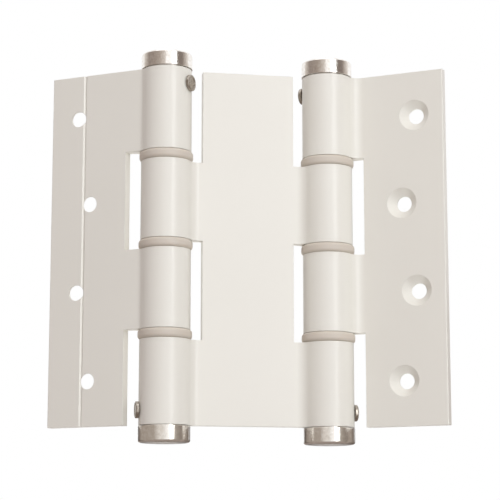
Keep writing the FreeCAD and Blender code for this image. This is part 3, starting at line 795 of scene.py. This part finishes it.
world = bpy.data.worlds.new("white_tent")
bpy.context.scene.world = world
world.use_nodes = True
tree = world.node_tree
tree.nodes.clear()
rays = add(tree, "ShaderNodeLightPath").outputs
direction = add(tree, "ShaderNodeTexCoord").outputs["Generated"]
height = add(tree, "ShaderNodeSeparateXYZ", {"Vector": direction}).outputs["Z"]
tent = add(tree, "ShaderNodeMapRange", {"Value": height, "From Min": -TENT_FADE,
                                        "From Max": TENT_FADE, "To Min": TENT_BELOW,
                                        "To Max": TENT_ABOVE})
patch = add(tree, "ShaderNodeMapRange", {"Value": height, "From Min": PATCH_START,
                                         "From Max": PATCH_FULL, "To Min": 0.0,
                                         "To Max": PATCH_LEVEL})
table = add(tree, "ShaderNodeMapRange", {"Value": height, "From Min": TABLE_START,
                                         "From Max": TABLE_FULL, "To Min": 0.0, "To Max": 1.0})
matt_level = add(tree, "ShaderNodeMath", {0: tent.outputs[0], 1: patch.outputs[0]}, operation="ADD")
sees_white = rays["Is Camera Ray"]
for kind in ("Is Transmission Ray", "Is Glossy Ray"):
    either = add(tree, "ShaderNodeMath", {0: sees_white, 1: rays[kind]}, operation="MAXIMUM")
    sees_white = either.outputs[0]
level = add(tree, "ShaderNodeMix", {"Factor": sees_white, "A": matt_level.outputs[0], "B": 1.0})
tint = add(tree, "ShaderNodeMix", {"Factor": sees_white, MIX_COLOUR_A: linear(TENT_TINT),
                                   MIX_COLOUR_B: WHITE}, data_type="RGBA")
seen_table = add(tree, "ShaderNodeMath", {0: table.outputs[0], 1: rays["Is Glossy Ray"]},
                 operation="MULTIPLY")
shade = add(tree, "ShaderNodeMix", {
    "Factor": seen_table.outputs[0], MIX_COLOUR_A: tint.outputs[MIX_COLOUR_RESULT],
    MIX_COLOUR_B: linear(TABLE_TONE)}, data_type="RGBA")
sky = add(tree, "ShaderNodeBackground", {"Color": shade.outputs[MIX_COLOUR_RESULT],
                                         "Strength": level.outputs[0]})
add(tree, "ShaderNodeOutputWorld", {"Surface": sky.outputs[0]})
print("the tent is", TENT_BELOW, "strong below and", TENT_ABOVE, "above")

# %% [markdown]
# ## Places round the hinge
#
# Lamps and boards stand round the hinge as a photographer would set them, by an angle round it and
# an angle up, and the lamps look at its middle. The angle round it is mostly counted from the view,
# which is close to where the camera stands, so that they keep their place beside the camera.

# %% Find a place round the hinge

CENTRE = Vector((0, 0, 0.082))
VIEW_AZIMUTH = 25.2


def around(azimuth, elevation, distance):
    """A point round the hinge. Azimuth 0 is in front, at -Y, and 90 is at +X."""
    turn = math.radians(azimuth)
    rise = math.radians(elevation)
    return CENTRE + distance * Vector((math.sin(turn) * math.cos(rise),
                                       -math.cos(turn) * math.cos(rise), math.sin(rise)))


def facing_hinge(position):
    return (CENTRE - position).to_track_quat("-Z", "Y").to_euler()


print("one metre in front of the hinge is", tuple(round(c, 3) for c in around(0, 0, 1.0)))

# %% [markdown]
# ## Lamps
#
# A tall narrow softbox to the right of the camera gives the bright line down each barrel, a wide
# one fills the front, and two more light the top and the back. A fifth, below and behind the hinge,
# reaches only faces that look down or back. It keeps the sawn undersides of the leaves and the
# walls of the screw holes pale. Three of them would show as white squares in the metal, so they are
# hidden from reflections.

# %% Softboxes

LAMP_TINT = (0.95, 1.0, 1.02)
MATT_ONLY = ("key_softbox", "back_softbox", "under_softbox")
# Azimuth and elevation in degrees, then distance, width and height in metres, then watts.
SOFTBOXES = {
    "strip_softbox": (VIEW_AZIMUTH + 34, 8, 1.0, 0.26, 1.1, 2.7),
    "key_softbox": (VIEW_AZIMUTH + 10, 14, 1.3, 1.0, 1.0, 5.5),
    "back_softbox": (VIEW_AZIMUTH + 180, 25, 1.4, 0.8, 0.8, 3.5),
    "under_softbox": (VIEW_AZIMUTH + 180, -62, 1.2, 0.8, 0.8, 9.5),
    "top_softbox": (0, 75, 1.2, 1.0, 1.0, 2.0)}

for name, (azimuth, elevation, distance, width, height, watts) in SOFTBOXES.items():
    light = bpy.data.lights.new(name, "AREA")
    light.shape = "RECTANGLE"
    light.size = width
    light.size_y = height
    light.energy = watts
    light.color = LAMP_TINT
    lamp = bpy.data.objects.new(name, light)
    lamp.visible_camera = False
    lamp.visible_glossy = name not in MATT_ONLY
    lamp.location = around(azimuth, elevation, distance)
    lamp.rotation_euler = facing_hinge(lamp.location)
    bpy.context.scene.collection.objects.link(lamp)
print("set up", len(SOFTBOXES), "softboxes")

# %% [markdown]
# ## Boards for the metal to see
#
# Polished metal looks like what stands round it, so a photographer builds its look from boards. They
# show only in reflections. A white card beside the camera is the bright band on each cap, and brown
# greys on both sides of it are the dark bands. A board glows by itself, so that its tone is the one
# that is written, and it fades from one tone to another across its width.

# %% One board

BOARD_DISTANCE = 1.1
BOARD_REACH = 0.9


def board(name, azimuths, tones, low=-BOARD_REACH, high=BOARD_REACH, strength=1.0):
    """An upright board. Its lower and upper edges are counted from the hinge's middle, in metres."""
    card = bpy.data.materials.new(name)
    card.use_nodes = True
    tree = card.node_tree
    tree.nodes.clear()
    corner = add(tree, "ShaderNodeUVMap").outputs["UV"]
    across = add(tree, "ShaderNodeSeparateXYZ", {"Vector": corner}).outputs["X"]
    shade = add(tree, "ShaderNodeMix", {"Factor": across, MIX_COLOUR_A: linear(tones[0]),
                                        MIX_COLOUR_B: linear(tones[-1])}, data_type="RGBA")
    glow = add(tree, "ShaderNodeEmission", {"Color": shade.outputs[MIX_COLOUR_RESULT],
                                            "Strength": strength})
    add(tree, "ShaderNodeOutputMaterial", {"Surface": glow.outputs[0]})
    mesh = bpy.data.meshes.new(name)
    left, right = (around(VIEW_AZIMUTH + azimuth, 0, BOARD_DISTANCE) for azimuth in azimuths)
    foot = Vector((0, 0, low))
    top = Vector((0, 0, high))
    mesh.from_pydata([left + foot, right + foot, right + top, left + top], [], [(0, 1, 2, 3)])
    uv = mesh.uv_layers.new(name="UVMap")
    for loop, corner_uv in zip(uv.data, ((0, 0), (1, 0), (1, 1), (0, 1))):
        loop.uv = corner_uv
    mesh.materials.append(card)
    piece = bpy.data.objects.new(name, mesh)
    bpy.context.scene.collection.objects.link(piece)
    for kind in ("camera", "diffuse", "transmission", "shadow"):
        setattr(piece, f"visible_{kind}", False)


print("boards stand", BOARD_DISTANCE, "m from the hinge")

# %% [markdown]
# ## The ring of boards
#
# The top caps see the upper boards and the bottom caps the lower ones, which are closer in tone. Two
# narrow dark boards behind the hinge draw the thin line down each limb of a barrel. Each entry gives
# the board's left and right azimuth from the view, in degrees, and its left and right tone.

# %% Set up the boards

SPLIT_HEIGHT = 0.13
EDGE_TOP = 0.36
CARD_STRENGTH = 1.1
UPPER_BOARDS = {
    "far_board": (-122, -92, "#DCD5CE", "#A0968F"),
    "left_board": (-92, -42, "#91867F", "#A3988F"),
    "near_board": (-42, -6, "#A3988F", "#D8D0C9"),
    "white_card": (-6, 43, "#FFFFFF", "#FFFFFF"),
    "right_board": (43, 80, "#786D65", "#887D76"),
    "back_board": (80, 112, "#9F958E", "#E6E0DA")}
LOWER_BOARDS = {
    "low_far_board": (-138, -112, "#6E645D", "#A1978E"),
    "low_left_board": (-112, -42, "#A1978E", "#A89F96"),
    "low_near_board": (-42, -22, "#A89F96", "#DCD7D1"),
    "low_middle_board": (-22, -4, "#DCD7D1", "#DEDAD4"),
    "low_card_edge": (-4, 12, "#DEDAD4", "#FFFFFF"),
    "low_card": (12, 27, "#FFFFFF", "#FAF7F4"),
    "low_fading_card": (27, 48, "#FAF7F4", "#A79E95"),
    "low_right_board": (48, 86, "#A79E95", "#80766D"),
    "low_back_board": (86, 112, "#998F86", "#A89F96"),
    "low_last_board": (112, 142, "#8F857C", "#6E645D")}
EDGE_BOARDS = {
    "left_edge_board": (-152, -138, "#4A423D"),
    "right_edge_board": (150, 168, "#4A423D")}

for name, (left, right, *tones) in UPPER_BOARDS.items():
    strength = CARD_STRENGTH if name == "white_card" else 1.0
    board(name, (left, right), tones, low=SPLIT_HEIGHT, strength=strength)
for name, (left, right, *tones) in LOWER_BOARDS.items():
    board(name, (left, right), tones, high=SPLIT_HEIGHT)
for name, (left, right, *tones) in EDGE_BOARDS.items():
    board(name, (left, right), tones, high=EDGE_TOP)
print("set up", len(UPPER_BOARDS) + len(LOWER_BOARDS) + len(EDGE_BOARDS), "boards")

# %% [markdown]
# ## Camera
#
# The camera stands to the right and a little below the middle, far enough away for a product shot.
# Lens and place were fitted to the corners and hole centres that the photograph shows.

# %% Camera

LENS_MM = 126
SENSOR_MM = 36
CLIP_END = 20
CAMERA_PLACE = (0.2986, -0.6611, -0.0467)
CAMERA_RISE_DEG = 10
CAMERA_TURN_DEG = 24.22

camera_data = bpy.data.cameras.new("camera")
camera_data.lens = LENS_MM
camera_data.sensor_width = SENSOR_MM
camera_data.clip_end = CLIP_END
camera = bpy.data.objects.new("camera", camera_data)
camera.location = CAMERA_PLACE
camera.rotation_euler = (math.radians(90 + CAMERA_RISE_DEG), 0, math.radians(CAMERA_TURN_DEG))
bpy.context.scene.collection.objects.link(camera)
bpy.context.scene.camera = camera
bpy.context.scene.view_settings.view_transform = "Standard"
print("camera at", tuple(round(c, 3) for c in camera.location))
